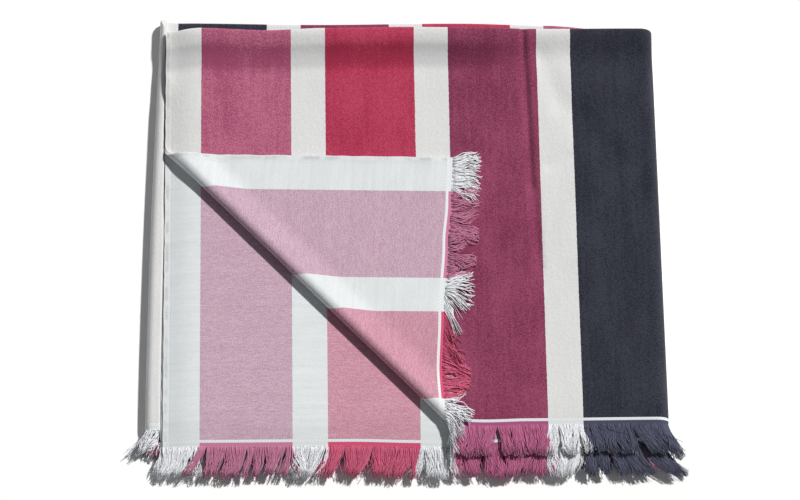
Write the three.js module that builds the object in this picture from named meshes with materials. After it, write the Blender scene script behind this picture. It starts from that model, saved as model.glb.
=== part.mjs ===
// A striped hammam towel, folded to a quarter of its width and half its length, with one corner turned over.
// Units are millimetres. +X runs across the stripes, +Y towards the end-to-end fold, +Z up from the surface.
//
// Every point of the flat towel has three coordinates: across (over the stripes, from the selvedge on top),
// along (with the stripes, from the first end) and off (through the cloth, positive on its velour side).
// The folds are made one after the other: the corner, end to end, selvedge to selvedge, and the half under.
import * as THREE from 'three';

// The cloth
const clothThickness = 2.8;
const layerGap = 0.6;
const edgeStripe = 35.3;
const colourStripe = 89;
const whiteStripe = 34;
const colourStripes = 16;
const clothWidth = colourStripes * colourStripe + (colourStripes - 1) * whiteStripe + 2 * edgeStripe;
const pitch = clothThickness + layerGap; // from one layer to the next

// The woven strip at each end, parted from the cloth, and the fringe that hangs from it
const stripDepth = 8;
const stripThickness = 1.7;
const partingGap = 0.3;
const fringeLength = { first: 28, second: 30 };
const locksPerColour = 6;
const locksPerWhite = 2;
const lockThickness = 1.2;
const narrowestLock = 3.2;
const cornerSink = 0.3;

// Where the first end lies short of a straight cut, by the place across
const firstEndTrim = [
  { across: 0, trim: -10 },
  { across: 46, trim: -8 },
  { across: 88, trim: -4.6 },
  { across: 160, trim: 0 },
  { across: 222, trim: 2.2 },
  { across: 276, trim: 0.8 },
  { across: 312, trim: -0.3 },
  { across: 352, trim: 0.7 },
  { across: 480, trim: 1.6 },
  { across: 1000, trim: 0 },
  { across: 2005, trim: 0 },
];

// How far the second end reaches past the first, below it in the pack, by the place across
const secondEndReach = [
  { across: 0, reach: 17.6 },
  { across: 180, reach: 17.2 },
  { across: 250, reach: 18.8 },
  { across: 480, reach: 17.6 },
  { across: 560, reach: 2 },
  { across: 640, reach: -10 },
  { across: 960, reach: -12 },
  { across: 1004, reach: -14 },
  { across: 1020, reach: 6 },
  { across: 1070, reach: 12 },
  { across: 2005, reach: 16 },
];

// The end-to-end fold: its distance from the first end, by the place across
const endFold = [
  { across: 0, length: 398.8 },
  { across: 34, length: 401.6 },
  { across: 100, length: 399.2 },
  { across: 160, length: 401.7 },
  { across: 240, length: 403.1 },
  { across: 330, length: 402.4 },
  { across: 360, length: 401.2 },
  { across: 480, length: 401.8 },
  { across: 550, length: 409.5 },
  { across: 610, length: 414.2 },
  { across: 700, length: 416.4 },
  { across: 850, length: 414.6 },
  { across: 980, length: 416.0 },
  { across: 1004, length: 417.8 },
  { across: 1018, length: 403 },
  { across: 1026, length: 399.5 },
  { across: 1080, length: 399 },
  { across: 1500, length: 400.5 },
  { across: 2005, length: 401 },
];

// The selvedge-to-selvedge fold, whose line leans a little, and the last fold, which is slack near the top
const foldLength = 404;
const middleFold = { atEnds: 1001.3, atTop: 1004.9 };
const lastFold = { start: 475.5, takeUpAtEnds: 31.5, takeUpAtTop: 45.7 };
const leanPower = 1.6;

// The corner that is turned over: the fold line's normal and distance, and the loose roll of cloth there
const corner = { normal: new THREE.Vector2(0.7115, 0.7027), distance: 197.7 };
const roll = { radius: 5.5, overturn: 0.35, landingRadius: 30 };

// How the pack settles: it is bulky near its top fold, dips below that, and droops at its fringed ends
const topBulk = { below: 7, width: 14, rise: 0.2 };
const topDip = { below: 30, width: 13, drop: 0.07 };
const endDroop = { from: 6, to: -62, drop: 0.6 };
// Soft creases in the upper layers, from one point to another
const creases = [
  { fromX: 362, fromY: 388, toX: 358, toY: 210, width: 7, depth: 2.4 },
  { fromX: 358, fromY: 210, toX: 366, toY: 120, width: 9, depth: 1.2 },
  { fromX: 376, fromY: 240, toX: 398, toY: 262, width: 7, depth: 1.2 },
  { fromX: 372, fromY: 132, toX: 400, toY: 152, width: 7, depth: 1.1 },
];

// How far the locks lean sideways at their tips
const firstLean = [
  { across: 0, lean: 6 },
  { across: 30, lean: 2 },
  { across: 120, lean: 0 },
  { across: 420, lean: 0 },
  { across: 476, lean: 12 },
  { across: 521, lean: 12 },
  { across: 570, lean: 0 },
  { across: 920, lean: 0 },
  { across: 1001, lean: -24 },
  { across: 1085, lean: 0 },
  { across: 2005, lean: 0 },
];
const secondLean = [
  { across: 0, lean: -11 },
  { across: 40, lean: -5 },
  { across: 90, lean: 0 },
  { across: 420, lean: 0 },
  { across: 476, lean: 14 },
  { across: 521, lean: 14 },
  { across: 570, lean: 0 },
  { across: 930, lean: 0 },
  { across: 1001, lean: -7 },
  { across: 1075, lean: 0 },
  { across: 1945, lean: 0 },
  { across: 2005, lean: -8 },
];

// Curves are drawn with these many steps, and the flat runs along the cloth are divided at these places
const steps = { endFold: 5, middleFold: 6, lastFold: 8, roll: 10, landing: 3 };
const divisions = {
  pastFirstEnd: [8, 60, 120, 180, 240, 300],
  beforeFold: [60, 44, 30, 14],
  pastFold: [14, 34],
  beforeSecondEnd: [30, 19, 9],
};

// A value between the rows of a table, eased from one row to the next
function between(table, across, column) {
  const next = table.findIndex((row) => row.across >= across);
  if (next < 0) return table.at(-1)[column];
  if (next === 0) return table[0][column];
  const [a, b] = [table[next - 1], table[next]];
  const share = THREE.MathUtils.smoothstep(across, a.across, b.across);
  return THREE.MathUtils.lerp(a[column], b[column], share);
}

const bell = (distance, width) => Math.exp(-((distance / width) ** 2));

// Lines across the cloth: close together in the folds, closer at the crease, and wide apart elsewhere.
// The middle fold takes up three quarters of a turn's length on each side of its line, and its line leans.
const middleLine = (middleFold.atEnds + middleFold.atTop) / 2;
const middleLean = (middleFold.atTop - middleFold.atEnds) / 2;
const middleHalf = 0.75 * Math.PI * pitch + middleLean;
const lastEnd = lastFold.start + lastFold.takeUpAtTop;
const creaseFrom = 350;
const creaseTo = 374;
const nearMiddle = 62;
const spread = (from, to, count) => Array.from({ length: count }, (_, i) => from + ((to - from) * i) / count);
const halfLines = [
  ...spread(lastFold.start, lastEnd, steps.lastFold),
  ...spread(lastEnd, middleLine - nearMiddle, 5),
  ...spread(middleLine - nearMiddle, middleLine - middleHalf, 3),
];
const mirrored = (lines) => lines.map((line) => 2 * middleLine - line).reverse();
const clothLinesAcross = [
  ...spread(0, creaseFrom, 8),
  ...spread(creaseFrom, creaseTo, 4),
  ...spread(creaseTo, lastFold.start, 3),
  ...halfLines,
  ...spread(middleLine - middleHalf, middleLine + middleHalf, steps.middleFold),
  middleLine + middleHalf,
  ...mirrored(halfLines),
  ...spread(2 * middleLine - lastFold.start, clothWidth, 5).slice(1),
  clothWidth,
];

// The end-to-end fold and the first end run straight from one line across to the next
function straightBetweenLines(table, column) {
  const values = clothLinesAcross.map((across) => between(table, across, column));
  return (across) => {
    const next = Math.max(1, clothLinesAcross.findIndex((line) => line >= Math.min(across, clothWidth)));
    const [from, to] = [clothLinesAcross[next - 1], clothLinesAcross[next]];
    return THREE.MathUtils.mapLinear(across, from, to, values[next - 1], values[next]);
  };
}
const foldTop = straightBetweenLines(endFold, 'length');
const firstEnd = straightBetweenLines(firstEndTrim, 'trim');
const secondReach = straightBetweenLines(secondEndReach, 'reach');
const secondEnd = (across) => 2 * foldTop(across) + secondReach(across);

// The roll of the turned corner, seen along its fold line: flat, a loop of a little more than half a turn,
// a slope, and a soft landing one layer up. It gives the place and direction at a distance along the cloth.
const rollLoop = (Math.PI + roll.overturn) * roll.radius;
const rollDrop = roll.radius * (1 + Math.cos(roll.overturn)) - pitch
  - roll.landingRadius * (1 - Math.cos(roll.overturn));
const rollSlope = rollDrop / Math.sin(roll.overturn);
const rollLanding = roll.landingRadius * roll.overturn;
const rollEnds = [rollLoop, rollLoop + rollSlope, rollLoop + rollSlope + rollLanding];

function rollAt(distance) {
  const { radius, overturn, landingRadius } = roll;
  if (distance <= 0) return { forward: distance, up: 0, angle: 0 };
  if (distance <= rollEnds[0]) {
    const angle = distance / radius;
    return { forward: radius * Math.sin(angle), up: radius * (1 - Math.cos(angle)), angle };
  }
  let forward = -radius * Math.sin(overturn);
  let up = radius * (1 + Math.cos(overturn));
  const slope = Math.min(distance, rollEnds[1]) - rollEnds[0];
  forward -= slope * Math.cos(overturn);
  up -= slope * Math.sin(overturn);
  if (distance <= rollEnds[1]) return { forward, up, angle: Math.PI + overturn };
  const turned = Math.min(distance - rollEnds[1], rollLanding) / landingRadius;
  forward -= landingRadius * (Math.sin(overturn) - Math.sin(overturn - turned));
  up -= landingRadius * (Math.cos(overturn - turned) - Math.cos(overturn));
  const flat = Math.max(0, distance - rollEnds[2]);
  return { forward: forward - flat, up, angle: Math.PI + overturn - turned };
}

// Fold 1: the corner at the selvedge and the first end turns up and over
function turnCorner({ across, along, off }) {
  const { normal, distance } = corner;
  const past = distance - normal.x * across - normal.y * along;
  if (past <= 0) return { across, along, off };
  const { forward, up, angle } = rollAt(past);
  const back = past - forward + off * Math.sin(angle);
  const height = up + off * Math.cos(angle);
  return { across: across + normal.x * back, along: along + normal.y * back, off: height };
}

// Half a turn of cloth that starts at a place, uses up a length of cloth and bends about a centre line
function bendUnder(place, height, start, takeUp, centre) {
  const reach = height - centre;
  const turn = (place - start) / takeUp;
  if (turn <= 0) return [place, height];
  if (turn >= 1) return [start - (place - start - takeUp), centre - reach];
  return [start + reach * Math.sin(Math.PI * turn), centre + reach * Math.cos(Math.PI * turn)];
}

// Fold 2: end to end, the velour side out. Fold 3: selvedge under selvedge. Fold 4: the folded half under.
function foldPack({ across, along, off }) {
  const first = (Math.PI * pitch) / 2;
  const top = foldTop(across);
  const [y, level] = bendUnder(along, off + pitch / 2, top - first / 2, first, 0);
  const lean = Math.min(1, Math.max(0, y / foldLength)) ** leanPower;

  const second = 1.5 * Math.PI * pitch;
  const middle = THREE.MathUtils.lerp(middleFold.atEnds, middleFold.atTop, lean);
  const [halfX, halfZ] = bendUnder(across, level, middle - second / 2, second, -pitch);

  const takeUp = THREE.MathUtils.lerp(lastFold.takeUpAtEnds, lastFold.takeUpAtTop, lean);
  const [x, z] = bendUnder(halfX, halfZ, lastFold.start, takeUp, -3 * pitch);
  return new THREE.Vector3(x, y, z + 7 * pitch - layerGap / 2);
}

// The settled shape of the whole pack
const packHeight = 8 * pitch - layerGap;

function creaseDepth(x, y) {
  let depth = 0;
  for (const { fromX, fromY, toX, toY, width, depth: deep } of creases) {
    const run = new THREE.Vector2(toX - fromX, toY - fromY);
    const share = THREE.MathUtils.clamp(((x - fromX) * run.x + (y - fromY) * run.y) / run.lengthSq(), 0, 1);
    depth += deep * bell(Math.hypot(x - fromX - share * run.x, y - fromY - share * run.y), width);
  }
  return depth;
}

function settle(point) {
  const { x, y, z } = point;
  const bulk = topBulk.rise * bell(foldLength - topBulk.below - y, topBulk.width);
  const dip = topDip.drop * bell(foldLength - topDip.below - y, topDip.width);
  const droop = endDroop.drop * THREE.MathUtils.smoothstep(-y, -endDroop.from, -endDroop.to);
  const height = z * (1 + (y > foldLength - topBulk.below ? topBulk.rise : bulk) - dip) * (1 - droop);
  const creased = Math.min(1, z / packHeight) ** 3; // only the upper layers are creased
  return new THREE.Vector3(x, y, height - creaseDepth(x, y) * creased);
}

const place = (across, along, off) => settle(foldPack(turnCorner({ across, along, off })));

// Flat cells between lines across and lines along, then cut along every line of the corner's roll
const rollLines = [];
for (let step = 0; step <= steps.roll; step++) rollLines.push((rollEnds[0] * step) / steps.roll);
rollLines.push((rollEnds[0] + rollEnds[1]) / 2);
for (let step = 0; step <= steps.landing; step++) {
  rollLines.push(rollEnds[1] + (rollLanding * step) / steps.landing);
}

const onLine = 1e-6; // closer to a line than this is on it

function cutCell(cell, past) {
  const sides = cell.map(([across, along]) => {
    const height = corner.distance - corner.normal.x * across - corner.normal.y * along - past;
    return Math.abs(height) < onLine ? 0 : height;
  });
  if (!sides.some((side) => side > 0) || !sides.some((side) => side < 0)) return [cell];
  const pieces = [[], []];
  cell.forEach((point, index) => {
    const after = (index + 1) % cell.length;
    const [here, there] = [sides[index], sides[after]];
    if (here >= 0) pieces[0].push(point);
    if (here <= 0) pieces[1].push(point);
    if (here * there < 0) {
      const share = here / (here - there);
      const cut = [0, 1].map((axis) => THREE.MathUtils.lerp(point[axis], cell[after][axis], share));
      pieces[0].push(cut);
      pieces[1].push(cut);
    }
  });
  return pieces;
}

function flatCells(acrossLines, alongLines) {
  let cells = [];
  for (let i = 0; i + 1 < acrossLines.length; i++) {
    for (let j = 0; j + 1 < alongLines.length; j++) {
      const [left, right] = [acrossLines[i], acrossLines[i + 1]];
      const [low, high] = [alongLines[j], alongLines[j + 1]];
      cells.push([[left, low(left)], [right, low(right)], [right, high(right)], [left, high(left)]]);
    }
  }
  for (const past of rollLines) cells = cells.flatMap((cell) => cutCell(cell, past));
  return cells;
}

// A closed solid from flat cells: both sides of the cloth, and a rim round its cut edge.
// A rim quad that a lock grows from is left open, and the lock closes it.
function clothSolid(cells, thickness, growLock = () => null) {
  const points = [];
  const triangles = [];
  const known = new Map();
  const edges = new Map();
  const key = ([across, along]) => `${across.toFixed(4)} ${along.toFixed(4)}`;
  const corners = (flat) => {
    if (!known.has(key(flat))) {
      known.set(key(flat), { flat, over: points.length, under: points.length + 1 });
      points.push(place(flat[0], flat[1], thickness / 2), place(flat[0], flat[1], -thickness / 2));
    }
    return known.get(key(flat));
  };
  const quad = (a, b, c, d) => triangles.push([a, b, c], [a, c, d]);
  for (const cell of cells) {
    const ring = cell.map(corners).filter((entry, index, all) => entry !== all[(index + 1) % all.length]);
    if (ring.length < 3) continue;
    for (let index = 1; index + 1 < ring.length; index++) {
      triangles.push([ring[0].over, ring[index].over, ring[index + 1].over]);
      triangles.push([ring[0].under, ring[index + 1].under, ring[index].under]);
    }
    ring.forEach((from, index) => {
      const to = ring[(index + 1) % ring.length];
      if (!edges.delete(`${to.over} ${from.over}`)) edges.set(`${from.over} ${to.over}`, [from, to]);
    });
  }
  for (const [from, to] of edges.values()) {
    const root = [to.over, from.over, from.under, to.under];
    const stations = growLock(from.flat, to.flat) ?? [];
    let last = root;
    for (const station of stations) {
      const ring = station.map((point) => points.push(point) - 1);
      for (let side = 0; side < 4; side++) {
        quad(last[side], last[(side + 1) % 4], ring[(side + 1) % 4], ring[side]);
      }
      last = ring;
    }
    quad(last[0], last[1], last[2], last[3]);
  }
  const geometry = new THREE.BufferGeometry();
  const numbers = points.flatMap((point) => point.toArray());
  geometry.setAttribute('position', new THREE.Float32BufferAttribute(numbers, 3));
  geometry.setIndex(triangles.flat());
  geometry.computeVertexNormals();
  return geometry;
}

// Lines along the cloth: from the first end to the fold, round the fold, and on to the second end
const foldHalf = (Math.PI * pitch) / 4;
const clothLinesAlong = [
  (across) => firstEnd(across) + partingGap / 2,
  ...divisions.pastFirstEnd.map((along) => () => along),
  ...divisions.beforeFold.map((before) => (across) => foldTop(across) - before),
  ...spread(-foldHalf, foldHalf, steps.endFold).map((past) => (across) => foldTop(across) + past),
  ...[foldHalf, ...divisions.pastFold].map((past) => (across) => foldTop(across) + past),
  (across) => (foldTop(across) + secondEnd(across)) / 2,
  ...divisions.beforeSecondEnd.map((before) => (across) => secondEnd(across) - before),
  (across) => secondEnd(across) - partingGap / 2,
];

function makeCloth() {
  return clothSolid(flatCells(clothLinesAcross, clothLinesAlong), clothThickness);
}

// Where one lock of the fringe ends and the next begins: a few to each stripe, and narrower ones at the
// cloth's own lines, which the strip has to follow to keep its gap
const clearOfLine = 6;
const mergedLine = 1.5;
const near = (line, others, distance) => others.some((other) => Math.abs(line - other) < distance);

function lockLines(rollCrossings) {
  const crossings = rollCrossings.filter((line) => !near(line, clothLinesAcross, mergedLine));
  const kept = [...crossings, ...clothLinesAcross];
  const lines = [];
  let across = 0;
  const stripe = (width, locks) => {
    lines.push(...spread(across, across + width, locks));
    across += width;
  };
  stripe(edgeStripe, locksPerWhite);
  for (let index = 0; index < colourStripes; index++) {
    stripe(colourStripe, locksPerColour);
    stripe(index + 1 < colourStripes ? whiteStripe : edgeStripe, locksPerWhite);
  }
  return [...kept, ...lines.filter((line) => !near(line, kept, clearOfLine))].sort((a, b) => a - b);
}

// One lock: a four-sided tuft that narrows from the strip's edge to its tip.
// On the turned corner it follows the cloth, and elsewhere it runs straight out and level.
// It lies as low as the cloth's underside, so that the lowest locks rest on the surface.
const lockStations = [
  { reach: 0.5, width: 0.86, lean: 0.35 },
  { reach: 1, width: 0.62, lean: 1 },
];

function makeLock(left, right, edgeAlong, outward, length, leanTable) {
  const across = (left + right) / 2;
  const root = foldPack(turnCorner({ across, along: edgeAlong, off: 0 }));
  const leftRoot = foldPack(turnCorner({ across: left, along: edgeAlong, off: 0 }));
  const rightRoot = foldPack(turnCorner({ across: right, along: edgeAlong, off: 0 }));
  const side = rightRoot.clone().sub(leftRoot);
  if (side.length() < narrowestLock) return null;
  const past = corner.distance - corner.normal.x * across - corner.normal.y * edgeAlong;
  const onCorner = past > rollEnds[0];
  const inward = foldPack(turnCorner({ across, along: edgeAlong - outward, off: 0 }));
  const away = root.clone().sub(inward);
  away.z = 0;
  away.normalize();
  const leanBy = between(leanTable, across, 'lean');
  const leanWay = onCorner ? new THREE.Vector3(0, 1, 0) : new THREE.Vector3(1, 0, 0);
  const over = foldPack(turnCorner({ across, along: edgeAlong, off: 1 })).sub(root);
  return lockStations.map((station) => {
    const reach = length * station.reach;
    const centre = onCorner
      ? foldPack(turnCorner({ across, along: edgeAlong + outward * reach, off: 0 }))
      : root.clone().addScaledVector(away, reach);
    centre.addScaledVector(leanWay, leanBy * station.lean);
    centre.z -= onCorner ? cornerSink : (clothThickness - lockThickness) / 2;
    const half = side.clone().multiplyScalar(station.width / 2);
    const thick = over.clone().multiplyScalar(lockThickness / 2);
    const ring = [];
    for (const [sideways, upwards] of [[-1, 1], [1, 1], [1, -1], [-1, -1]]) {
      ring.push(settle(centre.clone().addScaledVector(half, sideways).addScaledVector(thick, upwards)));
    }
    const low = Math.min(0, ...ring.map((point) => point.z));
    return ring.map((point) => point.setZ(point.z - low));
  });
}

// Where a line of the roll meets the strip's outer edge, found by going back and forth between the two
const rounds = 30;

function acrossAtRoll(outer, past) {
  let across = corner.distance;
  for (let round = 0; round < rounds; round++) {
    across = (corner.distance - past - corner.normal.y * outer(across)) / corner.normal.x;
  }
  return across;
}

// A fringed end: the narrow strip with its locks. inner and outer are the strip's edges in the flat towel,
// and only the first end is on the turned corner.
function makeFringe(edge, outward, length, leanTable) {
  const inner = (across) => edge(across) + (outward * partingGap) / 2;
  const outer = (across) => edge(across) + outward * (partingGap / 2 + stripDepth);
  const onCorner = outward < 0;
  const acrossLines = lockLines(onCorner ? rollLines.map((past) => acrossAtRoll(outer, past)) : []);
  const cells = flatCells(acrossLines, onCorner ? [outer, inner] : [inner, outer]);
  const atOuter = ([across, along]) => Math.abs(along - outer(across)) < partingGap / 2;
  return clothSolid(cells, stripThickness, (from, to) => {
    if (!atOuter(from) || !atOuter(to)) return null;
    const along = (from[1] + to[1]) / 2;
    return makeLock(to[0], from[0], along, outward, length, leanTable);
  });
}

const parts = {
  towel_cloth: { geometry: makeCloth(), colour: 0xb4526f, roughness: 0.95 },
  fringe_end_one: {
    geometry: makeFringe(firstEnd, -1, fringeLength.first, firstLean), colour: 0xd8d4d8, roughness: 0.9,
  },
  fringe_end_two: {
    geometry: makeFringe(secondEnd, 1, fringeLength.second, secondLean), colour: 0xc8a0b4, roughness: 0.9,
  },
};

const towel = new THREE.Group();
for (const [name, { geometry, colour, roughness }] of Object.entries(parts)) {
  const material = new THREE.MeshStandardMaterial({ color: colour, roughness, metalness: 0 });
  const mesh = new THREE.Mesh(geometry, material);
  mesh.name = name;
  towel.add(mesh);
}

// The origin is the middle of the base of the whole towel
const box = new THREE.Box3().setFromObject(towel);
towel.position.set(-(box.min.x + box.max.x) / 2, -(box.min.y + box.max.y) / 2, -box.min.z);

export default towel;
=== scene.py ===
import math

import bmesh
import bpy
import numpy as np
from mathutils import Matrix, Vector


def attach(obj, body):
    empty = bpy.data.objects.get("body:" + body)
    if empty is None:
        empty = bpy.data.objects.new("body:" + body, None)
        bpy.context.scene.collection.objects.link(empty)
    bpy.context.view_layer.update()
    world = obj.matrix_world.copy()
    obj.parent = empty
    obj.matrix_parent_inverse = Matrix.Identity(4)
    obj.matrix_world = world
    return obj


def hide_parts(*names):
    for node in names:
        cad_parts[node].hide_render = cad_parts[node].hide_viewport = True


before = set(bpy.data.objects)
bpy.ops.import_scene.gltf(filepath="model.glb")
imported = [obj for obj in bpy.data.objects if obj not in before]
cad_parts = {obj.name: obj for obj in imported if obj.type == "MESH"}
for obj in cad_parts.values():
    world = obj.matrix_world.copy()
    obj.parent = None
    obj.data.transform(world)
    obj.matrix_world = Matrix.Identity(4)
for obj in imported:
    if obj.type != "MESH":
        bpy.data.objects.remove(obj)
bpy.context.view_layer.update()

# The cloth: one length of cotton, woven in stripes with a velour pile on one side and a flat, paler weave on
# the other, and hemmed along both selvedges. One corner is turned over, then the cloth is folded end to end,
# selvedge to selvedge, and once more with the folded half going under.

# Sizes are in millimetres: across the stripes, along them from the first end, and off through the cloth
MM = 0.001
cloth_thickness = 2.8
layers = 8  # in the pack, which is a guess
pitch = 3.4  # from one layer to the next
layer_gap = pitch - cloth_thickness
edge_stripe = 35.3
colour_stripe = 89.0
white_stripe = 34.0
colour_stripes = 16
cloth_width = colour_stripes * colour_stripe + (colour_stripes - 1) * white_stripe + 2 * edge_stripe
parting_gap = 0.3
middle_of_base = (229.826, 180.521)

# How far the first end lies short of a straight cut: across, trim
first_end_trim = [
    (0, -10), (46, -8), (88, -4.6), (160, 0), (222, 2.2), (276, 0.8),
    (312, -0.3), (352, 0.7), (480, 1.6), (1000, 0), (2005, 0),
]
# How far the second end reaches past the first: across, reach
second_end_reach = [
    (0, 17.6), (180, 17.2), (250, 18.8), (480, 17.6), (560, 2),
    (640, -10), (960, -12), (1004, -14), (1020, 6), (1070, 12), (2005, 16),
]
# The end-to-end fold's distance from the first end: across, length
end_fold = [
    (0, 398.8), (34, 401.6), (100, 399.2), (160, 401.7), (240, 403.1), (330, 402.4),
    (360, 401.2), (480, 401.8), (550, 409.5), (610, 414.2), (700, 416.4), (850, 414.6),
    (980, 416.0), (1004, 417.8), (1018, 403), (1026, 399.5), (1080, 399), (1500, 400.5), (2005, 401),
]
fold_length = 404.0
middle_fold = {"at_ends": 1001.3, "at_top": 1004.9}
last_fold = {"start": 475.5, "take_up_at_ends": 31.5, "take_up_at_top": 45.7}
lean_power = 1.6

corner_normal = (0.7115, 0.7027)
corner_distance = 197.7
corner_ends = corner_distance / corner_normal[0]
roll_radius = 5.5
roll_overturn = 0.35
landing_radius = 30.0

top_bulk = {"below": 7, "width": 14, "rise": 0.2}
top_dip = {"below": 30, "width": 13, "drop": 0.07}
end_droop = {"start": 10, "end": -70, "drop": 0.5}
# At the left the selvedges lie pressed, and the fold below them is full and round and stands up beside them
edge_press = {"width": 16, "drop": 0.22}
side_fold = {
    "layers": 4, "edge_at_ends": -2, "edge_at_top": 5.2,
    "steps_up_in": 1.3, "rise": 0.8, "rise_at_top": 0.66,
}
# Where the corner isn't turned over, the top layer's selvedge curls up
hem_curl = {"width": 10, "rise": 3.6, "from_y": 322, "full_y": 346, "fades_from_y": 370, "to_y": 400}
shallow_waves = 0.3
# Soft creases in the upper layers: from x, from y, to x, to y, width, depth
creases = [
    (357, 398, 362, 236, 3.2, 3.5),
    (362, 236, 367, 150, 4.5, 1.8),
    (380, 256, 402, 268, 4.5, 1.6),
    (374, 376, 392, 322, 9, 1.5),
    (402, 322, 452, 262, 13, 2.0),
    (466, 384, 470, 190, 8, 1.4),
    (372, 132, 400, 152, 7, 1.1),
    (404, 300, 452, 322, 14, 0.9),
    (410, 120, 470, 96, 16, 0.8),
    (300, 356, 352, 352, 9, 0.7),
    (52, 330, 70, 284, 12, 0.6),
]


def between(table, across):
    """Eases from one row's value to the next."""
    places, values = np.array(table, float).T
    across = np.clip(across, places[0], places[-1])
    row = np.clip(np.searchsorted(places, across), 1, len(places) - 1)
    share = (across - places[row - 1]) / (places[row] - places[row - 1])
    return values[row - 1] + (values[row] - values[row - 1]) * share * share * (3 - 2 * share)


def smooth_step(value, low, high):
    share = np.clip((value - low) / (high - low), 0, 1)
    return share * share * (3 - 2 * share)


def bell(distance, width):
    return np.exp(-((distance / width) ** 2))


loop_length = (math.pi + roll_overturn) * roll_radius
loop_drop = roll_radius * (1 + math.cos(roll_overturn)) - pitch
slope_length = (loop_drop - landing_radius * (1 - math.cos(roll_overturn))) / math.sin(roll_overturn)
landing_length = landing_radius * roll_overturn
roll_length = loop_length + slope_length + landing_length


def roll_at(past):
    """The turned corner's section: flat, a loop of over half a turn, a slope and a soft landing."""
    angle = np.clip(past, 0, loop_length) / roll_radius
    slope = np.clip(past - loop_length, 0, slope_length)
    turned = np.clip(past - loop_length - slope_length, 0, landing_length) / landing_radius
    forward = np.minimum(past, 0) + roll_radius * np.sin(angle) - slope * math.cos(roll_overturn)
    forward -= landing_radius * (math.sin(roll_overturn) - np.sin(roll_overturn - turned))
    forward -= np.maximum(0, past - roll_length)
    up = roll_radius * (1 - np.cos(angle)) - slope * math.sin(roll_overturn)
    up -= landing_radius * (np.cos(roll_overturn - turned) - math.cos(roll_overturn))
    return forward, up, angle - turned


def turn_corner(across, along, off):
    past = corner_distance - corner_normal[0] * across - corner_normal[1] * along
    forward, up, angle = roll_at(past)
    back = past - forward + off * np.sin(angle)
    lift = flap_lift(across, along) * smooth_step(past, loop_length, roll_length + flap["full_after"])
    height = up + off * np.cos(angle) + lift
    return across + corner_normal[0] * back, along + corner_normal[1] * back, height


# The flap's hem is drawn in by its seam, so it stands off the cloth below in shallow waves
hem_wave = {"length": 46.0, "rise": 0.55, "reach": 20.0}
flap = {"billow": 0.35, "rise": 0.35, "full_after": 20}


def flap_lift(across, along):
    wave = 0.5 + 0.5 * np.sin(2 * math.pi * along / hem_wave["length"] + 1.5 * np.sin(along / 31))
    billow = flap["billow"] * np.sin(across / 37 + along / 53) * np.sin(along / 41 - across / 67)
    return hem_wave["rise"] * wave * np.exp(-across / hem_wave["reach"]) + billow + flap["rise"]


def bend_under(place, height, start, take_up, centre):
    """Half a turn of cloth: from where it starts, over the length it takes up, about a centre line."""
    reach = height - centre
    turn = math.pi * np.clip((place - start) / take_up, 0, 1)
    bent = start + reach * np.sin(turn) + np.minimum(place - start, 0)
    return bent - np.maximum(place - start - take_up, 0), centre + reach * np.cos(turn)


def fold_pack(across, along, off):
    """End to end with the velour out, selvedge under selvedge, and the folded half under."""
    first = math.pi * pitch / 2
    top = between(end_fold, across)
    y, level = bend_under(along, off + pitch / 2, top - first / 2, first, 0)
    lean = np.clip(y / fold_length, 0, 1) ** lean_power

    second = 1.5 * math.pi * pitch
    middle = middle_fold["at_ends"] + (middle_fold["at_top"] - middle_fold["at_ends"]) * lean
    half_x, half_z = bend_under(across, level, middle - second / 2, second, -pitch)

    slack = last_fold["take_up_at_top"] - last_fold["take_up_at_ends"]
    take_up = last_fold["take_up_at_ends"] + slack * lean
    x, z = bend_under(half_x, half_z, last_fold["start"], take_up, -3 * pitch)
    return x, y, z + (layers - 1) * pitch - layer_gap / 2


def settle(x, y, z):
    """The bulk and dip near the top fold, the drooping ends, the full left fold and the creases on top."""
    pack_height = layers * pitch - layer_gap
    bulk = top_bulk["rise"] * bell(np.maximum(0, fold_length - top_bulk["below"] - y), top_bulk["width"])
    dip = top_dip["drop"] * bell(fold_length - top_dip["below"] - y, top_dip["width"])
    droop = end_droop["drop"] * smooth_step(-y, -end_droop["start"], -end_droop["end"])
    press = edge_press["drop"] * bell(np.maximum(x, 0), edge_press["width"])
    lean = np.clip(y / fold_length, 0, 1) ** lean_power
    edge = np.minimum(0, side_fold["edge_at_ends"] * (1 - lean) + side_fold["edge_at_top"] * lean)
    curls = smooth_step(y, hem_curl["from_y"], hem_curl["full_y"])
    rise = side_fold["rise"] * (1 - curls) + side_fold["rise_at_top"] * curls
    in_fold = z < side_fold["layers"] * pitch - layer_gap / 2
    puff = rise * smooth_step(edge - x, 0.1, side_fold["steps_up_in"]) * in_fold
    height = z * (1 + bulk - dip) * (1 - droop) * (1 - press) * (1 + puff)
    curled = curls * (1 - smooth_step(y, hem_curl["fades_from_y"], hem_curl["to_y"]))
    top_starts = (layers - 1) * pitch
    above_rest = smooth_step(z, top_starts - layer_gap, top_starts)
    top_layer = above_rest * (1 - smooth_step(z, pack_height, pack_height + 3))
    height += hem_curl["rise"] * curled * top_layer * bell(np.maximum(x, 0), hem_curl["width"])
    upper = np.clip(z / pack_height, 0, 1) ** 3
    for from_x, from_y, to_x, to_y, width, depth in creases:
        run_x, run_y = to_x - from_x, to_y - from_y
        share = ((x - from_x) * run_x + (y - from_y) * run_y) / (run_x ** 2 + run_y ** 2)
        share = np.clip(share, 0, 1)
        aside = np.hypot(x - from_x - share * run_x, y - from_y - share * run_y)
        height -= upper * depth * bell(aside, width)
    soft = np.sin(x / 23 + 1.3 * np.sin(y / 61)) * np.sin(y / 47 + 0.8 * np.sin(x / 39))
    return x, y, height + upper * shallow_waves * soft


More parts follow.
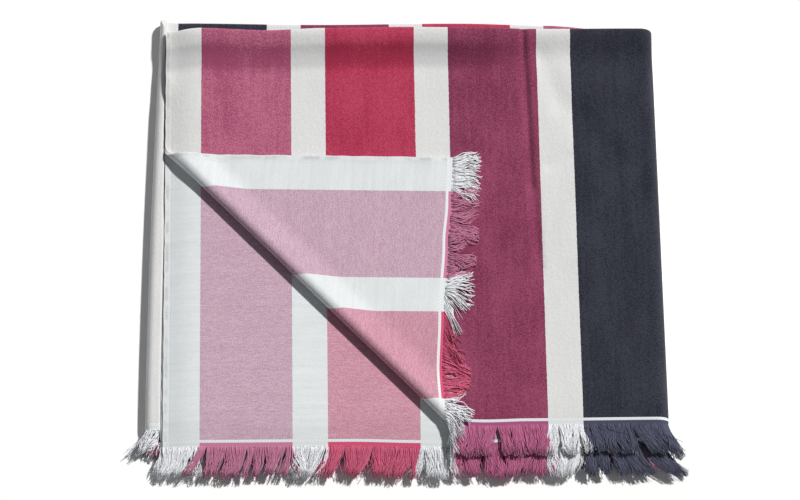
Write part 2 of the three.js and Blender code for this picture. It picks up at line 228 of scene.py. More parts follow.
def place(across, along, off, turned=True):
    """Folds points of the flat towel, and gives them in metres. The corner's roll takes only those turned."""
    flat = (across, along, off)
    rolled = turn_corner(across, along, off)
    points = [np.where(turned, after, before) for before, after in zip(flat, rolled)]
    x, y, z = settle(*fold_pack(*points))
    return np.stack([x - middle_of_base[0], y - middle_of_base[1], z], axis=-1) * MM


def first_edge(across):
    return between(first_end_trim, across)


def second_edge(across):
    return 2 * between(end_fold, across) + between(second_end_reach, across)


def cut_to_shape(across, run):
    """The place along the cloth, whose ends and fold aren't straight, for a place along an even one."""
    first, fold, second = first_edge(across), between(end_fold, across), second_edge(across)
    early = (fold - first) * np.minimum(run, fold_length) / fold_length
    late = (second - fold) * np.maximum(run - fold_length, 0) / fold_length
    return first + early + late


def lines(*stretches):
    """Places close together or far apart: each stretch is its start, its end and its number of steps."""
    runs = [np.linspace(start, end, count, endpoint=False) for start, end, count in stretches]
    return np.append(np.concatenate(runs), stretches[-1][1])


def folded_cloth(name, across_lines, run_lines, along_of, thickness, shaped):
    """A flat slab of cloth, divided along its lines and along the turned corner's roll, and then folded."""
    slab = bmesh.new()
    columns, rows = len(across_lines) - 1, len(run_lines) - 1
    bmesh.ops.create_grid(slab, x_segments=columns, y_segments=rows, size=0.5)
    for vert in slab.verts:
        vert.co.x = across_lines[round((vert.co.x + 0.5) * columns)]
        vert.co.y = run_lines[round((vert.co.y + 0.5) * rows)]
    places = np.array([vert.co for vert in slab.verts])
    flat_place = slab.loops.layers.uv.new("flat_place")
    for face in slab.faces:
        for loop in face.loops:
            loop[flat_place].uv = loop.vert.co.xy * MM
    for vert, along in zip(slab.verts, along_of(places[:, 0], places[:, 1])):
        vert.co.y = along
    bends = lines((0, loop_length, 13), (loop_length, roll_length, 5))
    for past in bends:
        on_line = [(corner_distance - past) * axis for axis in corner_normal]
        bmesh.ops.bisect_plane(
            slab, geom=slab.verts[:] + slab.edges[:] + slab.faces[:],
            plane_co=(*on_line, 0), plane_no=(*corner_normal, 0),
        )
    for face in slab.faces:
        if face.normal.z < 0:
            face.normal_flip()
    bmesh.ops.solidify(slab, geom=slab.faces[:], thickness=thickness)
    heights = [vert.co.z for vert in slab.verts]
    middle = (max(heights) + min(heights)) / 2
    bmesh.ops.translate(slab, verts=slab.verts[:], vec=(0, 0, -middle))
    bmesh.ops.recalc_face_normals(slab, faces=slab.faces[:])
    for face in slab.faces:
        face.material_index = 1 if face.normal.z < -0.5 else 0
        face.smooth = True
    for edge in slab.edges:
        if edge.calc_face_angle(0) > math.radians(60):
            edge.smooth = False
    mesh = bpy.data.meshes.new(name)
    slab.to_mesh(mesh)
    slab.free()

    flat = np.empty(len(mesh.vertices) * 3)
    mesh.vertices.foreach_get("co", flat)
    across, along, off = flat.reshape(-1, 3).T
    mesh.vertices.foreach_set("co", place(*shaped(across, along, off)).ravel())
    mesh.update()
    piece = bpy.data.objects.new(name, mesh)
    bpy.context.scene.collection.objects.link(piece)
    return piece


hem_width = 6.8
hem_lines = np.array([0, 1.2, 3.4, 5.2, 5.9, 6.5, 7.3])
hem_shape = {"thicker": 0.14, "drawn_in": 0.22}
seam_groove = {"inside_hem": 0.9, "width": 0.6, "depth": 0.2}


def with_hems(across, along, off):
    """The hems are thicker, with a groove along their seams, which draw the edges in here and there."""
    from_edge = np.minimum(across, cloth_width - across)
    hem = smooth_step(-from_edge, -hem_width - 0.5, -hem_width + 0.5)
    puckers = np.sin(along / 3.7 + 2.1 * np.sin(along / 17))
    drawn_in = hem_shape["drawn_in"] * puckers * np.exp(-from_edge / 3)
    across = across + np.where(across < cloth_width / 2, drawn_in, -drawn_in)
    groove = bell(from_edge - hem_width + seam_groove["inside_hem"], seam_groove["width"])
    return across, along, off * (1 + hem_shape["thicker"] * hem - seam_groove["depth"] * groove)


last_start, last_end = last_fold["start"], last_fold["start"] + last_fold["take_up_at_top"]
middle = (middle_fold["at_ends"] + middle_fold["at_top"]) / 2
middle_reach = 38  # of the close lines, to each side of the middle fold
across_lines = np.concatenate([
    hem_lines,
    lines(
        (9, 344, 66), (344, 376, 22), (376, last_start, 20), (last_start, last_end, 22),
        (last_end, middle - middle_reach, 26), (middle - middle_reach, middle + middle_reach, 50),
        (middle + middle_reach, 2 * middle - last_end, 26),
        (2 * middle - last_end, 2 * middle - last_start, 18), (2 * middle - last_start, cloth_width - 9, 40),
    ),
    cloth_width - hem_lines[::-1],
])
run_lines = lines((0, 396, 80), (396, 412, 14), (412, 2 * fold_length, 60))
towel = folded_cloth("folded_towel", across_lines, run_lines, cut_to_shape, cloth_thickness, with_hems)


def linear(hex_colour):
    """An sRGB colour such as "d8d8d8", as the linear one that shaders take."""
    channels = [int(hex_colour[start:start + 2], 16) / 255 for start in (0, 2, 4)]
    return [c / 12.92 if c <= 0.04045 else ((c + 0.055) / 1.055) ** 2.4 for c in channels] + [1]


def add_node(material, kind, inputs=(), **settings):
    """Adds a node with its settings. An input is a value, or the output that it is linked to."""
    node = material.node_tree.nodes.new(kind)
    for name, value in settings.items():
        setattr(node, name, value)
    for socket, value in dict(inputs).items():
        if isinstance(value, bpy.types.NodeSocket):
            material.node_tree.links.new(value, node.inputs[socket])
        else:
            node.inputs[socket].default_value = value
    return node


def new_material(name):
    material = bpy.data.materials.new(name)
    material.use_nodes = True
    material.node_tree.nodes.clear()
    return material


def set_stops(ramp, stops):
    """Gives a colour ramp its stops in order, each with its place and its colour."""
    elements = ramp.color_ramp.elements
    for index, (stop_at, colour) in enumerate(stops):
        stop = elements[index] if index < 2 else elements.new(stop_at)
        stop.position = stop_at
        stop.color = colour


stripe_order = ("pink", "crimson", "plum", "navy")  # with a white stripe after each
stripe_pair = colour_stripe + white_stripe
stripe_repeat = len(stripe_order) * stripe_pair


def striped(material, wobble, *palettes):
    """Each palette's stripe colour by the place across the cloth. The edges wander by a thread or so."""
    flat = add_node(material, "ShaderNodeUVMap", uv_map="flat_place").outputs["UV"]
    noise = add_node(material, "ShaderNodeTexNoise", {"Vector": flat, "Scale": 1 / (3 * MM), "Detail": 2})
    shift = add_node(
        material, "ShaderNodeMapRange",
        {"Value": noise.outputs["Fac"], "To Min": -wobble * MM, "To Max": wobble * MM},
    )
    across = add_node(material, "ShaderNodeSeparateXYZ", {"Vector": flat}).outputs["X"]
    moved = add_node(material, "ShaderNodeMath", {0: across, 1: shift.outputs["Result"]}, operation="ADD")
    # Both edge stripes are a little wider than the white ones, so the outermost threads are held white
    extra = edge_stripe - white_stripe
    held = add_node(
        material, "ShaderNodeClamp",
        {"Value": moved.outputs[0], "Min": (extra + 0.1) * MM, "Max": (cloth_width - extra - 0.1) * MM},
    )
    into = add_node(
        material, "ShaderNodeMath",
        {0: held.outputs[0], 1: (stripe_repeat - edge_stripe) * MM}, operation="ADD",
    )
    pairs = add_node(
        material, "ShaderNodeMath", {0: into.outputs[0], 1: stripe_pair * MM}, operation="DIVIDE",
    )
    within = add_node(material, "ShaderNodeMath", {0: pairs.outputs[0]}, operation="FRACT")
    is_white = add_node(
        material, "ShaderNodeMath",
        {0: within.outputs[0], 1: colour_stripe / stripe_pair}, operation="GREATER_THAN",
    )
    pair = add_node(material, "ShaderNodeMath", {0: pairs.outputs[0]}, operation="FLOOR")
    order = add_node(
        material, "ShaderNodeMath",
        {0: pair.outputs[0], 1: 1 / len(stripe_order), 2: 0.5 / len(stripe_order)}, operation="MULTIPLY_ADD",
    )
    repeat = add_node(material, "ShaderNodeMath", {0: order.outputs[0]}, operation="FRACT")
    mixed = []
    for colours in palettes:
        ramp = add_node(material, "ShaderNodeValToRGB", {"Fac": repeat.outputs[0]})
        ramp.color_ramp.interpolation = "CONSTANT"
        starts = [index / len(stripe_order) for index in range(len(stripe_order))]
        set_stops(ramp, [(start, linear(colours[name])) for start, name in zip(starts, stripe_order)])
        both = add_node(
            material, "ShaderNodeMix",
            {0: is_white.outputs[0], 6: ramp.outputs["Color"], 7: linear(colours["white"])}, data_type="RGBA",
        )
        mixed.append(both.outputs[2])
    return flat, mixed


def toned(material, colour, pattern, low, high):
    """A colour made darker or lighter by a pattern from 0 to 1."""
    tone = add_node(
        material, "ShaderNodeMapRange",
        {"Value": pattern, "From Min": 0.25, "From Max": 0.75, "To Min": low, "To Max": high},
    )
    scaled = add_node(
        material, "ShaderNodeVectorMath", {0: colour, "Scale": tone.outputs["Result"]}, operation="SCALE",
    )
    return scaled.outputs["Vector"]


def stretched_noise(material, flat, wide, long, detail=3.0, seed=0.0):
    """Noise whose spots are so many millimetres across the cloth and along it."""
    scaled = add_node(
        material, "ShaderNodeMapping",
        {"Vector": flat, "Location": (seed, seed, seed), "Scale": (1 / (wide * MM), 1 / (long * MM), 1)},
    )
    noise = add_node(
        material, "ShaderNodeTexNoise", {"Vector": scaled.outputs["Vector"], "Scale": 1.0, "Detail": detail},
    )
    return noise.outputs["Fac"]


def hem_painted_shade(material, flat, colour, depth):
    """Along the selvedges: painted shadows of small puckers in the hem and painted shade in the dent of its
    seam, darker by so much.
    """
    across = add_node(material, "ShaderNodeSeparateXYZ", {"Vector": flat}).outputs["X"]
    from_edge = add_node(
        material, "ShaderNodeMath", {0: across, 1: cloth_width / 2 * MM}, operation="PINGPONG",
    )
    into_hem = add_node(
        material, "ShaderNodeMapRange", {"Value": from_edge.outputs[0], "From Max": 1.5 * hem_width * MM},
    )
    # Painted shadows under the hem's puckers
    pucker_shadow_noise = stretched_noise(material, flat, 12, 11, detail=1, seed=4.4)
    puckers = add_node(
        material, "ShaderNodeMapRange", {"Value": pucker_shadow_noise, "From Min": 0.42, "From Max": 0.6},
    )
    # Painted shade in the dent of the hem's seam
    seam_shade_noise = stretched_noise(material, flat, 9, 12, detail=1, seed=2.7)
    seam_dent_shade = add_node(
        material, "ShaderNodeMapRange", {"Value": seam_shade_noise, "To Min": 0.1, "To Max": 0.6},
    )
    # Where each kind of painted shade begins and ends, as shares of one and a half hem widths
    zones = {puckers: (0.06, 0.16, 0.26, 0.5), seam_dent_shade: (0.58, 0.65, 0.67, 0.74)}
    for pattern, places in zones.items():
        zone = add_node(material, "ShaderNodeValToRGB", {"Fac": into_hem.outputs[0]})
        set_stops(zone, [(at, (level, level, level, 1)) for at, level in zip(places, (0, 1, 1, 0))])
        painted_mark = add_node(
            material, "ShaderNodeMath",
            {0: zone.outputs["Color"], 1: pattern.outputs[0]}, operation="MULTIPLY",
        )
        shade = add_node(
            material, "ShaderNodeMapRange", {"Value": painted_mark.outputs[0], "To Min": 1, "To Max": 1 - depth},
        )
        colour = add_node(
            material, "ShaderNodeVectorMath", {0: colour, "Scale": shade.outputs[0]}, operation="SCALE",
        ).outputs["Vector"]
    return colour


# Cotton velour: sheared loops that stand up as a short dense pile. It has no gloss, a soft sheen at grazing
# angles, and a fine mottle where tufts lean one way or another.
velour = new_material("cotton_velour")
pile_depths = {"white": "d1d1d2", "pink": "974565", "crimson": "9b2845", "plum": "6f2a45", "navy": "21232d"}
pile_tips = {"white": "dcdcdb", "pink": "bc6f89", "crimson": "bc4662", "plum": "974967", "navy": "3a3c48"}
flat, (depths, tips) = striped(velour, 0.45, pile_depths, pile_tips)
tufts = stretched_noise(velour, flat, 1.1, 1.4, detail=2, seed=3.1)
leaning = stretched_noise(velour, flat, 3, 4, detail=2, seed=7.7)
brushed = stretched_noise(velour, flat, 34, 52, detail=5, seed=1.9)
rows_of_pile = stretched_noise(velour, flat, 4, 60, detail=2, seed=5.3)
# Painted shade in a band below the top fold, where the cloth dips: it pulls the colour towards the pile's
# depths
# and darkens it. Its stops: share of the way to the fold, how much. Across the cloth this fades to a part of
# itself.
painted_shade_band = ((0.868, 0), (0.93, 1), (0.94, 1), (0.978, 0))
painted_shade_fade = {"from": 290, "to": 370, "part_left": 0.15}
down_run = add_node(velour, "ShaderNodeMath", {
    0: add_node(velour, "ShaderNodeSeparateXYZ", {"Vector": flat}).outputs["Y"], 1: fold_length * MM,
}, operation="DIVIDE")
painted_shade_ramp = add_node(velour, "ShaderNodeValToRGB", {"Fac": down_run.outputs[0]})
painted_shade_ramp.color_ramp.interpolation = "EASE"
set_stops(painted_shade_ramp, [(at, (level, level, level, 1)) for at, level in painted_shade_band])
painted_shade_fading = add_node(velour, "ShaderNodeMapRange", {
    "Value": add_node(velour, "ShaderNodeSeparateXYZ", {"Vector": flat}).outputs["X"],
    "From Min": painted_shade_fade["from"] * MM, "From Max": painted_shade_fade["to"] * MM,
    "To Min": 1, "To Max": painted_shade_fade["part_left"],
})
painted_dip_shade = add_node(
    velour, "ShaderNodeMath", {0: painted_shade_ramp.outputs["Color"], 1: painted_shade_fading.outputs[0]}, operation="MULTIPLY",
).outputs[0]
# Each pattern lies around 0.5, and counts for so much; the painted shade below the top fold counts towards
# the depths
raised = add_node(velour, "ShaderNodeMath", {0: tufts, 1: 1.1, 2: -0.5}, operation="MULTIPLY_ADD").outputs[0]
weights = ((leaning, 0.28), (brushed, 0.4), (rows_of_pile, 0.22), (painted_dip_shade, -0.2))
for pattern, part in weights:
    raised = add_node(
        velour, "ShaderNodeMath", {0: pattern, 1: part, 2: raised}, operation="MULTIPLY_ADD",
    ).outputs[0]
shown = add_node(velour, "ShaderNodeMapRange", {"Value": raised, "From Min": 0.34, "From Max": 0.66})
colour = add_node(
    velour, "ShaderNodeMix", {0: shown.outputs[0], 6: depths, 7: tips}, data_type="RGBA",
).outputs[2]
# The painted shade below the top fold darkens the colour there by up to a fifth
colour = toned(velour, colour, painted_dip_shade, 1.0, 0.8)
# Painted shadows of the hem's puckers and painted shade in its seam's dent
colour = hem_painted_shade(velour, flat, colour, 0.14)
pile = add_node(velour, "ShaderNodeBump", {"Height": tufts, "Strength": 0.35, "Distance": 0.4 * MM})
soft = add_node(
    velour, "ShaderNodeBump",
    {"Height": leaning, "Strength": 0.3, "Distance": 1.0 * MM, "Normal": pile.outputs[0]},
)
shader = add_node(velour, "ShaderNodeBsdfPrincipled", {
    "Base Color": colour, "Roughness": 0.95, "IOR": 1.45, "Specular IOR Level": 0.15,
    "Sheen Weight": 0.2, "Sheen Roughness": 0.5, "Normal": soft.outputs[0],
})
add_node(velour, "ShaderNodeOutputMaterial", {"Surface": shader.outputs[0]})

# Flat cotton weave: the back of the velour, where white weft threads cover much of the coloured warp. Thick
# and thin places in the weft show as short streaks across the stripes.
flat_weave = new_material("cotton_flat_weave")
warp_shows = {"white": "d4d9db", "pink": "b48ca3", "crimson": "bb7a8f", "plum": "a0768c", "navy": "757884"}
weft_shows = {"white": "dee2e3", "pink": "cab3bf", "crimson": "cea3b1", "plum": "bd9dae", "navy": "989ba5"}
flat, (warp, weft) = striped(flat_weave, 0.25, warp_shows, weft_shows)
streaks = stretched_noise(flat_weave, flat, 6, 1.1, detail=2, seed=2.3)
picks = stretched_noise(flat_weave, flat, 120, 4.5, detail=3, seed=8.1)
threads = stretched_noise(flat_weave, flat, 1.2, 1.2, detail=1, seed=4.9)
washed = stretched_noise(flat_weave, flat, 22, 17, detail=3, seed=6.6)
uneven = add_node(flat_weave, "ShaderNodeMath", {0: streaks, 1: 0.55, 2: -0.275}, operation="MULTIPLY_ADD")
raised = add_node(flat_weave, "ShaderNodeMath", {0: threads, 1: uneven.outputs[0]}, operation="ADD")
shown = add_node(
    flat_weave, "ShaderNodeMapRange", {"Value": raised.outputs[0], "From Min": 0.3, "From Max": 0.7},
)
blended = add_node(flat_weave, "ShaderNodeMix", {0: shown.outputs[0], 6: warp, 7: weft}, data_type="RGBA")
colour = toned(flat_weave, blended.outputs[2], picks, 0.96, 1.04)
colour = toned(flat_weave, colour, washed, 0.97, 1.03)
# Painted shadows of the hem's puckers and painted shade in its seam's dent
colour = hem_painted_shade(flat_weave, flat, colour, 0.2)
weave = add_node(flat_weave, "ShaderNodeBump", {"Height": threads, "Strength": 0.25, "Distance": 0.3 * MM})
slubs = add_node(
    flat_weave, "ShaderNodeBump",
    {"Height": streaks, "Strength": 0.2, "Distance": 0.4 * MM, "Normal": weave.outputs[0]},
)
shader = add_node(flat_weave, "ShaderNodeBsdfPrincipled", {
    "Base Color": colour, "Roughness": 0.9, "IOR": 1.45, "Specular IOR Level": 0.2,
    "Sheen Weight": 0.05, "Sheen Roughness": 0.5, "Normal": slubs.outputs[0],
})
add_node(flat_weave, "ShaderNodeOutputMaterial", {"Surface": shader.outputs[0]})

towel.data.materials.append(velour)
towel.data.materials.append(flat_weave)
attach(towel, "root")
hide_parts("towel_cloth")

# The woven strip at each end: the pile stops, and a white cord-like line and a flat band of the stripes'
# colours keep the last weft threads from working loose. It is woven with the cloth.
strip_depth = 6.9
strip_thickness = {"at_cloth": 2.7, "at_fringe": 1.7}
white_line = 2.8
line_fades = (white_line - 0.3, white_line + 0.1)
tucked_in = 0.6  # into the cloth's edge, so that no gap shows

strip_weave = new_material("cotton_end_weave")
strip_colours = {"white": "dce0e1", "pink": "c47c9a", "crimson": "cf5474", "plum": "a75780", "navy": "484c60"}
flat, (colour,) = striped(strip_weave, 0.3, strip_colours)
outward = add_node(strip_weave, "ShaderNodeUVMap", uv_map="from_cloth").outputs["UV"]
distance = add_node(strip_weave, "ShaderNodeSeparateXYZ", {"Vector": outward}).outputs["Y"]
in_line = add_node(
    strip_weave, "ShaderNodeMapRange",
    {"Value": distance, "From Min": line_fades[0] * MM, "From Max": line_fades[1] * MM,
     "To Min": 1.0, "To Max": 0.0},
)
# The line's cord-like twist, its plies drawn as painted shade and light in diagonal bands. At a scale of 1
# the texture's waves are so long.
twist_length = 1.6
texture_wave = 0.314
hatch = add_node(
    strip_weave, "ShaderNodeTexWave",
    {"Vector": outward, "Scale": texture_wave / (twist_length * MM), "Distortion": 0.6, "Detail": 1.0},
    bands_direction="DIAGONAL",
)
# Painted shade and light on the cord's twisted plies
painted_twist_shading = add_node(
    strip_weave, "ShaderNodeMix",
    {0: hatch.outputs["Fac"], 6: linear("d6d8dc"), 7: linear("ebedf0")}, data_type="RGBA",
)
lined = add_node(
    strip_weave, "ShaderNodeMix", {0: in_line.outputs[0], 6: colour, 7: painted_twist_shading.outputs[2]}, data_type="RGBA",
)
ribs = add_node(
    strip_weave, "ShaderNodeBump",
    {"Height": hatch.outputs["Fac"], "Strength": 0.2, "Distance": 0.3 * MM},
)
shader = add_node(strip_weave, "ShaderNodeBsdfPrincipled", {
    "Base Color": lined.outputs[2], "Roughness": 0.9, "IOR": 1.45, "Specular IOR Level": 0.2,
    "Normal": ribs.outputs[0],
})
add_node(strip_weave, "ShaderNodeOutputMaterial", {"Surface": shader.outputs[0]})

strip_rows = np.array([-tucked_in, 0.8, 2.2, white_line, 4.4, 5.8, strip_depth + parting_gap / 2])
# Each end's edge, and which way along the cloth its strip and its fringe go out from it
ends = {"first": (first_edge, -1), "second": (second_edge, 1)}


def thinned(outward):
    """The strip's thickness as a share of the cloth's beside it, less and less towards the fringe."""
    thinning = 1 - strip_thickness["at_fringe"] / strip_thickness["at_cloth"]
    return 1 - thinning * smooth_step(outward, 0, strip_depth)


for end, (edge, way) in ends.items():
    rows = strip_rows * way
    strip = folded_cloth(
        f"{end}_end_strip", across_lines, rows if way > 0 else rows[::-1],
        lambda across, run: edge(across) + run, strip_thickness["at_cloth"],
        lambda across, along, off: (across, along, off * thinned(way * (along - edge(across)))),
    )
    from_cloth = strip.data.uv_layers.new(name="from_cloth")
    placed = np.empty(len(strip.data.loops) * 2)
    strip.data.uv_layers["flat_place"].data.foreach_get("uv", placed)
    from_cloth.data.foreach_set("uv", (placed.reshape(-1, 2) * (1, way)).ravel())
    strip.data.materials.append(strip_weave)
    for face in strip.data.polygons:
        face.material_index = 0
    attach(strip, "root")
    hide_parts(f"fringe_end_{'one' if end == 'first' else 'two'}")

# The fringe: the warp's own twisted yarns, left unwoven past the last weft and not knotted. They hang in
# small wavy bunches, with a few that stray, and those at the folds fan out to the side.
yarns_per_end = 5200  # enough to look full, and not a count of real ones
yarn_sides = 3
yarn_steps = 6
yarn_radius = 0.58
yarn_taper = 0.35
yarn_spacing = 10.0  # between the straight yarns, before they are put in place
rooted_in = 1.2  # the yarns begin inside the strip
fringe_length = {"first": 29.5, "second": 30.0}
most_aside = 0.93  # of a yarn's length, for one that leans
seeds = {"first": 11, "second": 12}

# How far the tips go towards the velour side
tip_rise = {"first": 3.4, "second": 0.8, "corner": 1.4}
# The yarns past the last fold are shorter
lower_layers = {"from": 530, "length": 0.88}
# The bunches, and how strongly and how late along their length their yarns draw together
bunches = 300
bunch_width = (5, 13)
half_bunch = 4.5
gather_reach = 6
gather = {"corner": (0.9, 1.2), "hanging": (0.75, 1.4)}
# On the turned corner the yarns lie in fuller waves
corner_wave = 1.3
corner_fullness = 1.7

# How far the yarns lean to the side at their tips: across, lean
first_lean = [
    (285, 0), (420, 0), (476, 14), (521, 14), (570, 0), (920, 0), (1001, -17), (1085, 0), (2005, 0),
]
second_lean = [
    (0, -11), (40, -8), (60, -9), (110, -7), (124, -3), (160, -8), (200, -7), (245, -4), (285, 0),
    (420, 0), (476, 20), (521, 25), (570, 0), (930, 0), (1001, -9), (1075, 0), (1945, 0), (2005, -8),
]
# The yarns stand closer together where more of them show: share of the yarns, across
yarn_places = [(0, 0), (0.2, 285), (0.5, lower_layers["from"]), (1, cloth_width)]

# On the turned corner they lean along its edge instead: across, lean
flap_lean = [
    (0, -18), (5, -14), (11, -5), (20, 3), (30, 4), (38, 6), (50, -4), (66, 4), (84, -5), (100, 4), (112, -4),
    (124, -12), (133, -8), (139, 14), (148, 24), (158, 26), (172, 26), (186, 22), (197, 10), (208, 14),
    (220, -5), (232, 5), (246, -8), (256, 0), (268, 0), (290, 0),
]

# Those at the roll's end fall over it, onto the layers below: across, and how far their tips go
corner_fall = {"from": 254, "to": 272, "by": (-20, -27, -9)}

# One lock near the left, from the edge stripe to here, crosses over its neighbours
crossing_lock = {"to": 41.5, "lean": -10, "off": -2.2}
pattern_step = 37  # along the yarns' pattern, from one yarn to the next

yarn_bm = bmesh.new()
bmesh.ops.create_cone(
    yarn_bm, cap_ends=True, segments=yarn_sides, radius1=1, radius2=1, depth=yarn_steps,
    matrix=Matrix.Translation((0, 0, yarn_steps / 2)),
)
for step in range(1, yarn_steps):
    bmesh.ops.bisect_plane(
        yarn_bm, geom=yarn_bm.verts[:] + yarn_bm.edges[:] + yarn_bm.faces[:],
        plane_co=(0, 0, step), plane_no=(0, 0, 1),
    )
bmesh.ops.recalc_face_normals(yarn_bm, faces=yarn_bm.faces[:])
one_yarn = bpy.data.meshes.new("one_yarn")
yarn_bm.to_mesh(one_yarn)
yarn_bm.free()

yarn_cotton = new_material("cotton_fringe_yarn")
yarn_colours = {"white": "e8eaee", "pink": "be7896", "crimson": "ce5f80", "plum": "b8658c", "navy": "54566a"}
flat, (colour,) = striped(yarn_cotton, 1.2, yarn_colours)
each_yarn = stretched_noise(yarn_cotton, flat, 0.8, 60, detail=1, seed=6.4)
plies = stretched_noise(yarn_cotton, flat, 0.9, 2.4, detail=1, seed=9.2)
colour = toned(yarn_cotton, colour, each_yarn, 0.88, 1.1)
colour = toned(yarn_cotton, colour, plies, 0.95, 1.05)
twisted = add_node(yarn_cotton, "ShaderNodeBump", {"Height": plies, "Strength": 0.15, "Distance": 0.2 * MM})
shader = add_node(yarn_cotton, "ShaderNodeBsdfPrincipled", {
    "Base Color": colour, "Roughness": 0.85, "IOR": 1.45, "Specular IOR Level": 0.25,
    "Sheen Weight": 0.3, "Sheen Roughness": 0.35, "Normal": twisted.outputs[0],
})
add_node(yarn_cotton, "ShaderNodeOutputMaterial", {"Surface": shader.outputs[0]})

for end, (edge, way) in ends.items():
    fringe = bpy.data.objects.new(f"{end}_end_fringe", one_yarn.copy())
    bpy.context.scene.collection.objects.link(fringe)
    repeated = fringe.modifiers.new("repeated", "ARRAY")
    repeated.count = yarns_per_end
    repeated.use_relative_offset = False
    repeated.use_constant_offset = True
    repeated.constant_offset_displace = (yarn_spacing, 0, 0)
    joined = bpy.data.meshes.new_from_object(fringe.evaluated_get(bpy.context.evaluated_depsgraph_get()))
    fringe.modifiers.clear()
    fringe.data = joined
    joined.name = fringe.name

    draw = np.random.default_rng(seeds[end])
    order = (np.arange(yarns_per_end) + draw.uniform(0, 1, yarns_per_end)) / yarns_per_end
    root = np.interp(order, *np.array(yarn_places).T)
    bunch_edges = np.cumsum(draw.uniform(*bunch_width, bunches))
    bunch = np.searchsorted(bunch_edges, root)
    bunch_middle = bunch_edges[bunch] - half_bunch
    bunch_lean = draw.normal(0, 5, bunches + 1)[bunch]
    bunch_wave = draw.uniform(0, 2 * math.pi, bunches + 1)[bunch]
    bunch_curl = draw.uniform(0.8, 2.4, bunches + 1)[bunch]
    bunch_level = draw.uniform(-1.2, 1.8, bunches + 1)[bunch]
    bunch_length = draw.uniform(0.93, 1.04, bunches + 1)[bunch]
    stray = np.where(draw.uniform(0, 1, yarns_per_end) < 0.05, draw.normal(0, 6, yarns_per_end), 0)
    lean = bunch_lean + draw.normal(0, 2.0, yarns_per_end) + stray
    length = fringe_length[end] * bunch_length * draw.uniform(0.87, 1.04, yarns_per_end)
    length *= np.where(root > lower_layers["from"], lower_layers["length"], 1)
    level = draw.uniform(-0.8, 0.8, yarns_per_end)
    crossing = (way > 0) & (root > edge_stripe) & (root < crossing_lock["to"])
    lean = np.where(crossing, crossing_lock["lean"] + draw.normal(0, 0.5, yarns_per_end), lean)
    level = np.where(crossing, crossing_lock["off"], level)
    curl = bunch_curl * draw.uniform(0.4, 1.6, yarns_per_end)
    turn = bunch_wave + draw.normal(0, 0.6, yarns_per_end)
    bends = draw.uniform(4, 8, yarns_per_end)
    rises = draw.uniform(0, 0.9, yarns_per_end)
    twists = draw.uniform(1, 3.5, yarns_per_end)
    uneven_steps = draw.uniform(0.75, 1.35, yarns_per_end)

    # A yarn's share runs from 0 at its root to 1 at its tip, and a power of it says how late the yarn bends
    co = np.empty(len(joined.vertices) * 3)
    joined.vertices.foreach_get("co", co)
    co = co.reshape(-1, 3)
    yarn = np.clip(np.round(co[:, 0] / yarn_spacing).astype(int), 0, yarns_per_end - 1)
    share = (co[:, 2] / yarn_steps) ** uneven_steps[yarn]
    thick = yarn_radius * (1 - yarn_taper * share ** 3)
    around = np.arctan2(co[:, 1], co[:, 0] - yarn * yarn_spacing) + turn[yarn] * 3 + twists[yarn] * share
    sideways, upwards = thick * np.cos(around), thick * np.sin(around)
    on_corner = (way < 0) & (root[yarn] < corner_ends)
    drawn = {lie: strength * share ** power for lie, (strength, power) in gather.items()}
    to_middle = np.clip(bunch_middle - root, -gather_reach, gather_reach)[yarn]
    gathered = np.where(on_corner, drawn["corner"], drawn["hanging"]) * to_middle
    swing = np.sin(turn[yarn] + bends[yarn] * share) - np.sin(turn[yarn])
    wave = curl[yarn] * swing * np.minimum(1, 1.6 * share)
    wave *= np.where(on_corner, corner_wave, 1)
    across = root[yarn] + sideways + gathered + wave + lean[yarn] * share ** 1.4
    led = np.where(on_corner, between(flap_lean, root[yarn]), 0)
    across += led * share ** 1.3
    shortened = np.sqrt(1 - np.clip((led + lean[yarn]) / length[yarn], -most_aside, most_aside) ** 2)
    run = strip_depth - rooted_in + share * length[yarn] * shortened
    fuller = np.where(on_corner, corner_fullness, 1)
    off = fuller * (level[yarn] + bunch_level[yarn] * share ** 1.2) + upwards
    off += fuller * rises[yarn] * np.sin(turn[yarn] * 2 + bends[yarn] * share) * share
    off += np.where(on_corner, tip_rise["corner"] * share ** 1.5, tip_rise[end] * share)
    points = place(across, edge(root[yarn]) + way * run, off, on_corner)
    table = first_lean if way < 0 else second_lean
    points[:, 0] += np.where(on_corner, 0, between(table, root[yarn])) * share ** 1.5 * MM
    falls = np.where(on_corner, smooth_step(root[yarn], corner_fall["from"], corner_fall["to"]), 0)
    points += (falls * share ** 1.3)[:, None] * np.array(corner_fall["by"]) * MM
    points[:, 2] = np.maximum(points[:, 2], (yarn_radius + upwards) * MM)
    joined.vertices.foreach_set("co", points.ravel())
    for polygon in joined.polygons:
        polygon.use_smooth = True
    flat_place = joined.uv_layers.new(name="flat_place")
    corner_verts = np.empty(len(joined.loops), int)
    joined.loops.foreach_get("vertex_index", corner_verts)
    placed = np.stack([root[yarn], share * length[yarn] + pattern_step * yarn], axis=-1)[corner_verts] * MM
    flat_place.data.foreach_set("uv", placed.ravel())
    joined.update()
    joined.materials.append(yarn_cotton)
    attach(fringe, "root")
    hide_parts(f"fringe_end_{'one' if end == 'first' else 'two'}")
bpy.data.meshes.remove(one_yarn)

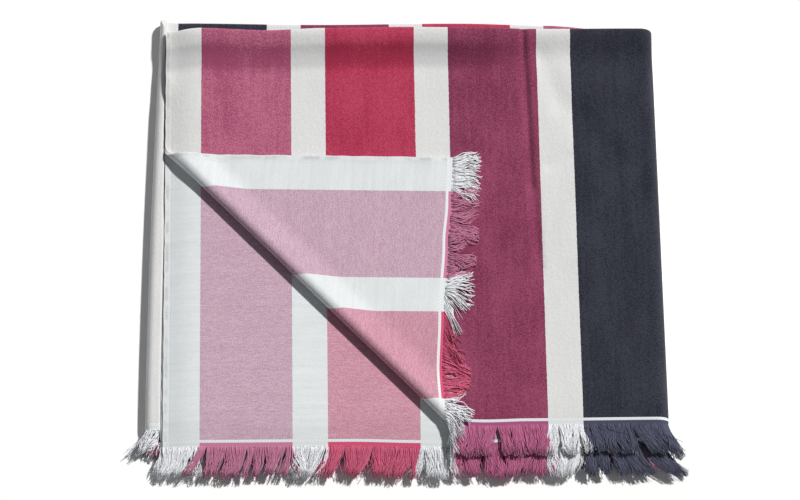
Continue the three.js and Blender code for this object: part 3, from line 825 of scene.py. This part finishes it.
# The floor and the lights: a plain pale surface, a key light high on the right and behind, which draws the
# folds' shadows to the lower left, and an even fill from all round.
floor_bm = bmesh.new()
bmesh.ops.create_grid(floor_bm, x_segments=1, y_segments=1, size=6)
floor_mesh = bpy.data.meshes.new("floor")
floor_bm.to_mesh(floor_mesh)
floor_bm.free()
floor = bpy.data.objects.new("floor", floor_mesh)
bpy.context.scene.collection.objects.link(floor)
pale = new_material("pale_matt_floor")
shader = add_node(pale, "ShaderNodeBsdfPrincipled", {
    "Base Color": linear("fbfbfb"), "Roughness": 1.0, "Specular IOR Level": 0.0,
})
add_node(pale, "ShaderNodeOutputMaterial", {"Surface": shader.outputs[0]})
floor_mesh.materials.append(pale)

key = bpy.data.lights.new("key", "SUN")
key.energy = 3.62
key.angle = math.radians(4)
key.color = (1.0, 0.988, 0.967)
key_light = bpy.data.objects.new("key", key)
key_from = Vector((0.60, 0.45, 0.95))
key_light.rotation_euler = key_from.to_track_quat("Z", "Y").to_euler()
bpy.context.scene.collection.objects.link(key_light)

world = bpy.data.worlds.new("fill")
world.use_nodes = True
world.node_tree.nodes["Background"].inputs["Color"].default_value = (0.93, 0.965, 1.0, 1)
world.node_tree.nodes["Background"].inputs["Strength"].default_value = 0.165
bpy.context.scene.world = world
bpy.context.scene.view_settings.view_transform = "Standard"

# The camera looks down steeply at the folded towel, a little from the left and turned a hair
camera_elevation = math.radians(73)
camera_distance = 2678.2
camera_aim = (0.61, -8.34, 20)
camera_lean = 0.0491
camera_roll = -0.0018
focal_pixels = 2730.4
picture_width = 800
forward = Vector((0, math.cos(camera_elevation), -math.sin(camera_elevation)))
up = Vector((0, math.sin(camera_elevation), math.cos(camera_elevation)))
right = Vector((1, 0, 0))
leaned = forward * math.cos(camera_lean) + right * math.sin(camera_lean)
leaned_right = right * math.cos(camera_lean) - forward * math.sin(camera_lean)
final_right = leaned_right * math.cos(camera_roll) + up * math.sin(camera_roll)
final_up = up * math.cos(camera_roll) - leaned_right * math.sin(camera_roll)
camera_data = bpy.data.cameras.new("camera")
camera_data.lens = focal_pixels * camera_data.sensor_width / picture_width
camera_data.clip_end = 50
camera = bpy.data.objects.new("camera", camera_data)
turn = Matrix([final_right, final_up, -leaned]).transposed()
camera.matrix_world = Matrix.Translation((Vector(camera_aim) - leaned * camera_distance) * MM) @ turn.to_4x4()
bpy.context.scene.collection.objects.link(camera)
bpy.context.scene.camera = camera
